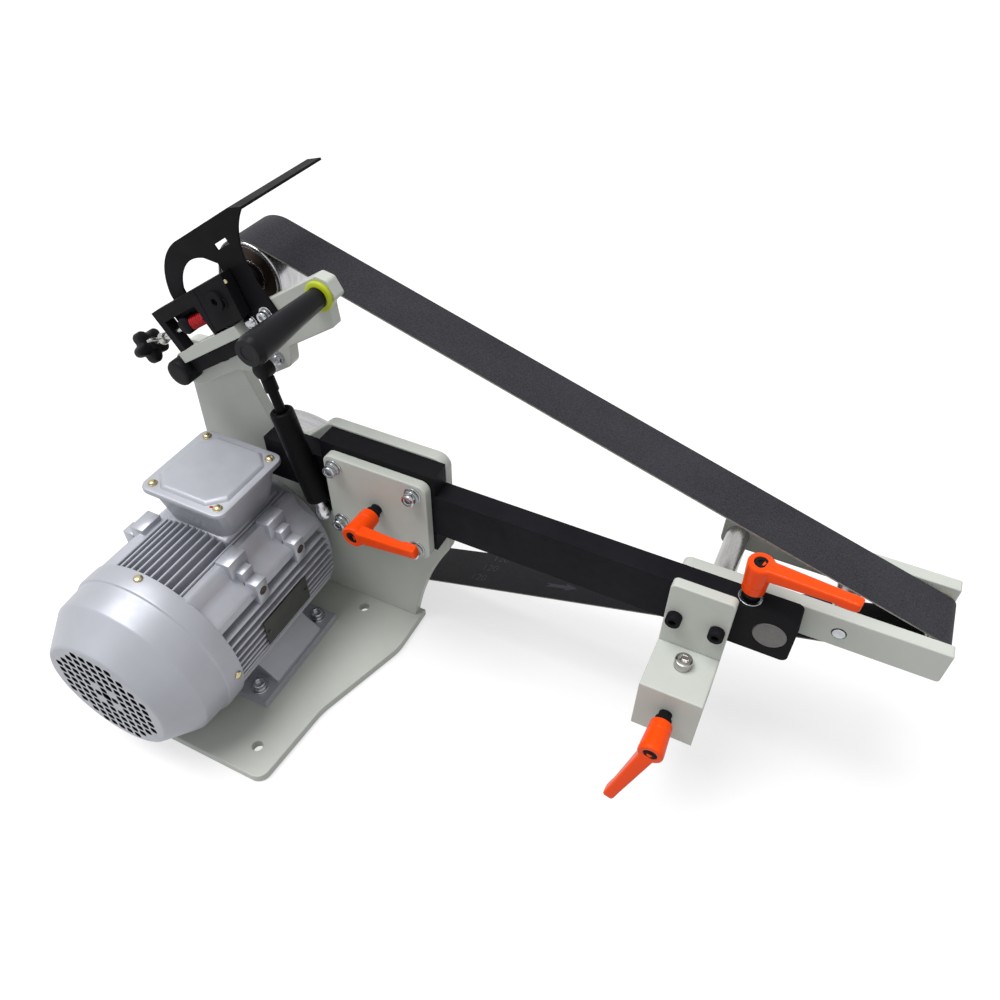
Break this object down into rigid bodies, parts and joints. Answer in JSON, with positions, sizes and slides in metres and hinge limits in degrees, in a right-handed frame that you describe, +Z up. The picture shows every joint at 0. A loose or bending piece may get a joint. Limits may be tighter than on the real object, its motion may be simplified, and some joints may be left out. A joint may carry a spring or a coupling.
{
  "type": "belt grinder",
  "caption": "Bench belt grinder with a foot-mounted motor, a sliding tool arm with a forked contact tip, a sprung tension arm and a tracking wheel.",
  "frame": {"origin": "centre of the four base bolt holes, on the underside of the base plate", "axes": "+X from the motor towards the contact tip, +Y from the fan cover towards the belt, +Z up"},
  "size_m": [0.808, 0.352, 0.4634],
  "materials": {
    "painted_steel": "satin pale grey-green paint",
    "black_steel": "fine black oxide and satin black paint",
    "cast_aluminium": "silver-grey painted castings",
    "bright_steel": "zinc plated and ground steel",
    "wheel_alloy": "turned aluminium treads",
    "lever_orange": "orange lever casting",
    "black_plastic": "matt black plastic",
    "belt_grit": "coated abrasive cloth",
    "ring_yellow": "yellow-green ring",
    "spring_red": "red spring",
    "core_iron": "laminated iron cores"
  },
  "bodies": {
    "frame": {"base_plate": "painted_steel", "upright_plate": "painted_steel", "receiver_bars": "black_steel", "clamp_plate": "painted_steel", "clamp_plate_bolts": "bright_steel", "motor_housing": "cast_aluminium", "motor_feet": "cast_aluminium", "motor_foot_bolts": "bright_steel", "drive_end_shield": "cast_aluminium", "fan_end_shield": "cast_aluminium", "motor_bearings": "bright_steel", "stator_core": "core_iron", "fan_cover": "cast_aluminium", "motor_cover_screws": "bright_steel", "terminal_box": "cast_aluminium", "terminal_lid": "cast_aluminium", "cable_gland": "black_plastic", "nameplate_blank": "black_plastic", "pivot_bolt": "black_plastic", "strut_lower_stud": "bright_steel", "abrasive_belt": "belt_grit"},
    "rotor": {"motor_shaft": "bright_steel", "drive_key": "bright_steel", "rotor_core": "core_iron", "cooling_fan": "black_plastic", "drive_wheel": "wheel_alloy"},
    "clamp_lever": {"lever_handle_1": "lever_orange", "lever_insert_1": "black_steel"},
    "tool_arm": {"tool_arm_bar": "black_steel", "arm_end_block": "black_steel", "rest_plate": "painted_steel", "rest_block": "painted_steel", "rest_screws": "bright_steel"},
    "swivel_lever": {"lever_handle_2": "lever_orange", "lever_insert_2": "black_steel"},
    "rest_lever": {"lever_handle_3": "lever_orange", "lever_insert_3": "black_steel"},
    "fork": {"fork_front_plate": "painted_steel", "fork_back_plate": "painted_steel", "fork_spacers": "bright_steel", "fork_screws": "bright_steel", "swivel_pin": "bright_steel", "tip_axle": "bright_steel"},
    "tip_wheel": {"tip_roller": "bright_steel"},
    "tension_arm": {"tension_arm": "painted_steel", "tension_handle": "black_plastic", "tension_handle_ring": "ring_yellow", "tension_arm_hardware": "bright_steel", "belt_guard": "black_steel", "tracking_bracket": "black_steel", "tracking_rail": "painted_steel", "tracking_spring": "spring_red"},
    "tracking_head": {"tracking_block": "black_steel", "tracking_axle": "bright_steel"},
    "tracking_wheel": {"tracking_wheel": "wheel_alloy"},
    "star_knob": {"star_knob": "black_plastic", "tracking_screw": "bright_steel"},
    "wing_nut": {"wing_nut": "bright_steel"},
    "strut_tube": {"strut_cylinder": "black_steel"},
    "strut_rod": {"strut_rod": "black_steel"}
  },
  "joints": [
    {"name": "drive_spin", "type": "hinge", "parent": "frame", "child": "rotor", "pos_m": [0, 0.111, 0.1], "axis": [0, 1, 0], "continuous": true},
    {"name": "clamp_lever_turn", "type": "hinge", "parent": "frame", "child": "clamp_lever", "pos_m": [0.151, 0.0791, 0.2005], "axis": [0, -1, 0], "range_deg": [0, 150]},
    {"name": "tool_arm_slide", "type": "slide", "parent": "frame", "child": "tool_arm", "axis": [1, 0, 0], "range_m": [-0.05, 0], "deforming": ["abrasive_belt"]},
    {"name": "swivel_lever_turn", "type": "hinge", "parent": "tool_arm", "child": "swivel_lever", "pos_m": [0.489, 0.10025, 0.231], "axis": [0, 0, 1], "range_deg": [-100, 25]},
    {"name": "rest_lever_turn", "type": "hinge", "parent": "tool_arm", "child": "rest_lever", "pos_m": [0.45575, 0.029, 0.14], "axis": [0, -1, 0], "range_deg": [0, 150]},
    {"name": "fork_swivel", "type": "hinge", "parent": "tool_arm", "child": "fork", "pos_m": [0.512, 0.111, 0.207], "axis": [0, 1, 0], "range_deg": [-10, 10], "deforming": ["abrasive_belt"]},
    {"name": "tip_spin", "type": "hinge", "parent": "fork", "child": "tip_wheel", "pos_m": [0.631, 0.153, 0.214], "axis": [0, 1, 0], "continuous": true},
    {"name": "tension_swing", "type": "hinge", "parent": "frame", "child": "tension_arm", "pos_m": [-0.057, 0.111, 0.286], "axis": [0, 1, 0], "range_deg": [0, 12], "stiffness_Nm_per_rad": 25, "springref_deg": -22.92, "deforming": ["abrasive_belt"]},
    {"name": "tracking_tilt", "type": "hinge", "parent": "tension_arm", "child": "tracking_head", "pos_m": [0.012, 0.0881, 0.38], "axis": [-0.5519, 0, 0.8339], "range_deg": [-2, 2], "deforming": ["abrasive_belt"]},
    {"name": "tracking_spin", "type": "hinge", "parent": "tracking_head", "child": "tracking_wheel", "pos_m": [0.012, 0.153, 0.38], "axis": [0, 1, 0], "continuous": true},
    {"name": "star_knob_turn", "type": "hinge", "parent": "tension_arm", "child": "star_knob", "pos_m": [-0.09356, 0.0881, 0.30138], "axis": [0.8339, 0, 0.5519], "range_deg": [-72, 72]},
    {"name": "wing_nut_turn", "type": "hinge", "parent": "tension_arm", "child": "wing_nut", "pos_m": [-0.07104, 0.0881, 0.31628], "axis": [0.8339, 0, 0.5519], "range_deg": [-90, 90]},
    {"name": "strut_swing", "type": "hinge", "parent": "frame", "child": "strut_tube", "pos_m": [0.088, 0.077, 0.171], "axis": [0, 1, 0], "range_deg": [-1, 1]},
    {"name": "strut_slide", "type": "slide", "parent": "strut_tube", "child": "strut_rod", "axis": [-0.2221, 0, 0.975], "range_m": [-0.026, 0.001]}
  ],
  "couplings": [
    {"joint": "tracking_spin", "follows": "drive_spin", "ratio": 2.7692},
    {"joint": "tip_spin", "follows": "drive_spin", "ratio": 9.4737},
    {"joint": "tracking_tilt", "follows": "star_knob_turn", "ratio": 0.027778},
    {"joint": "strut_swing", "follows": "tension_swing", "ratio": 0.04596},
    {"joint": "strut_slide", "follows": "tension_swing", "m_per_rad": -0.11656}
  ]
}
